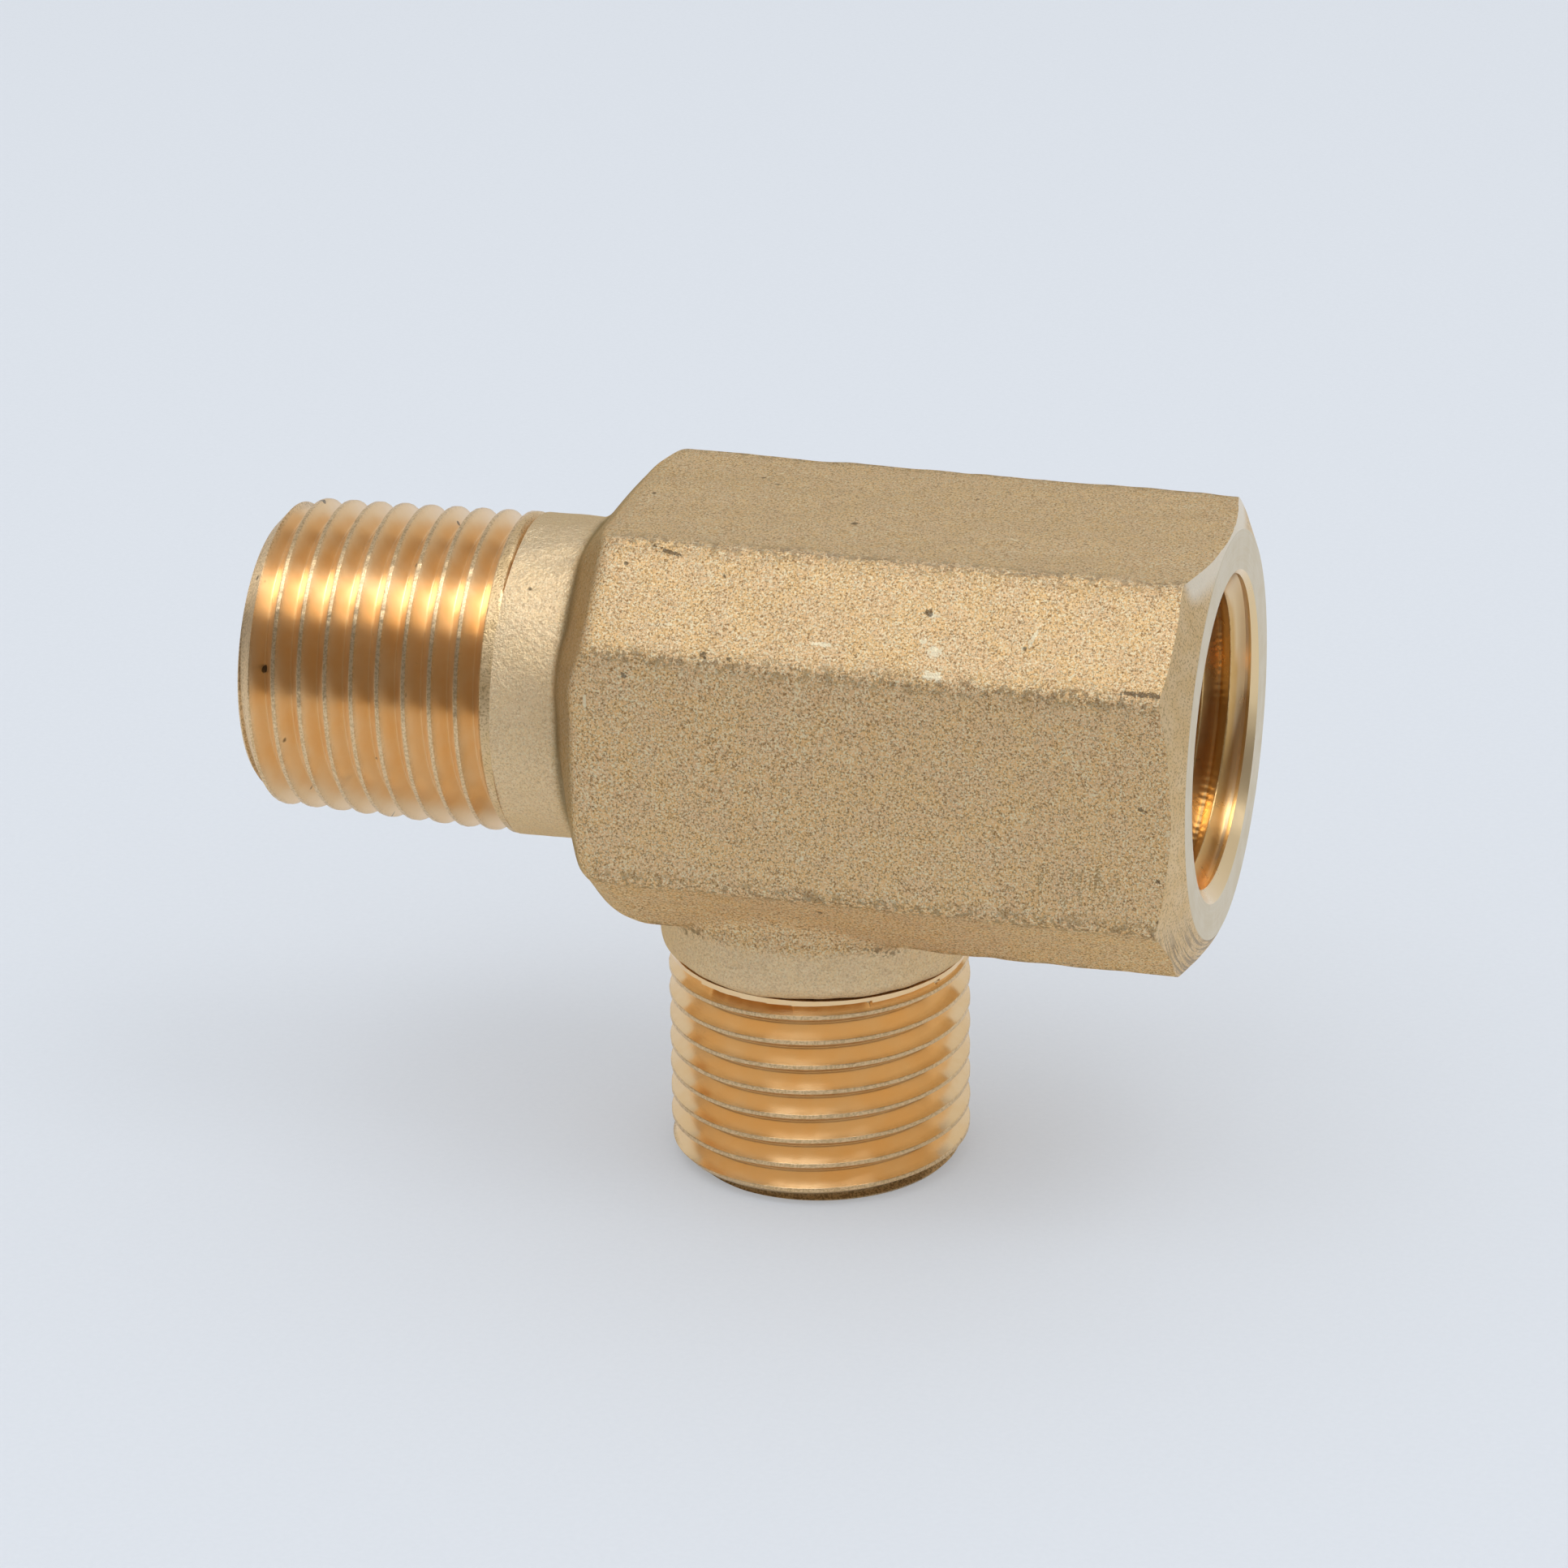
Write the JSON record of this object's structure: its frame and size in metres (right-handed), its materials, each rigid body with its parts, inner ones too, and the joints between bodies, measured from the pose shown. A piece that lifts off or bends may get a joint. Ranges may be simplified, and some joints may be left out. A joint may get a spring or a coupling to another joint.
{
  "type": "tee fitting",
  "caption": "Threaded brass street tee: octagonal forged barrel with an internally threaded socket at one end, a male thread at the other and a male-threaded branch below.",
  "frame": {"origin": "where the run axis and the branch axis cross", "axes": "+X along the run, out of the threaded socket; -X out of the male end of the run; -Z out of the branch; -Y the front flat"},
  "size_m": [0.0648, 0.029, 0.0462],
  "materials": {
    "forged_brass": "shot-blasted, as forged",
    "machined_brass": "turned, semi-bright"
  },
  "bodies": {
    "root": {"forged_body": "forged_brass", "run_male_thread": "machined_brass", "branch_male_thread": "machined_brass", "socket_thread": "machined_brass"}
  },
  "joints": []
}
